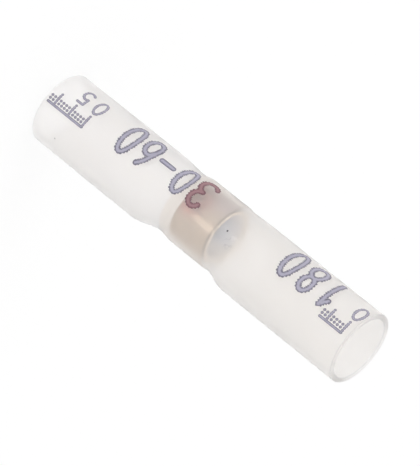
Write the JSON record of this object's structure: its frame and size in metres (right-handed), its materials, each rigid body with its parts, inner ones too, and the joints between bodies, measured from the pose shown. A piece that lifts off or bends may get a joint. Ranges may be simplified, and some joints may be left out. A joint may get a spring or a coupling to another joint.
{
  "type": "butt splice connector",
  "caption": "Translucent heat-shrink sleeve with open mouths, drawn in at its waist round a short copper barrel, for joining two wires end to end.",
  "frame": {"origin": "on the sleeve's axis at its far cut end, which the connector stands on", "axes": "+Z along the sleeve from its far mouth to its near mouth, -X towards the side that the barrel lies against"},
  "size_m": [0.005, 0.005, 0.026],
  "materials": {
    "sleeve_plastic": "milky translucent heat-shrink polyolefin, smooth and slightly glossy",
    "barrel_copper": "bare drawn copper, satin, with bright cut ends"
  },
  "bodies": {
    "root": {"insulating_sleeve": "sleeve_plastic", "splice_barrel": "barrel_copper"}
  },
  "joints": []
}
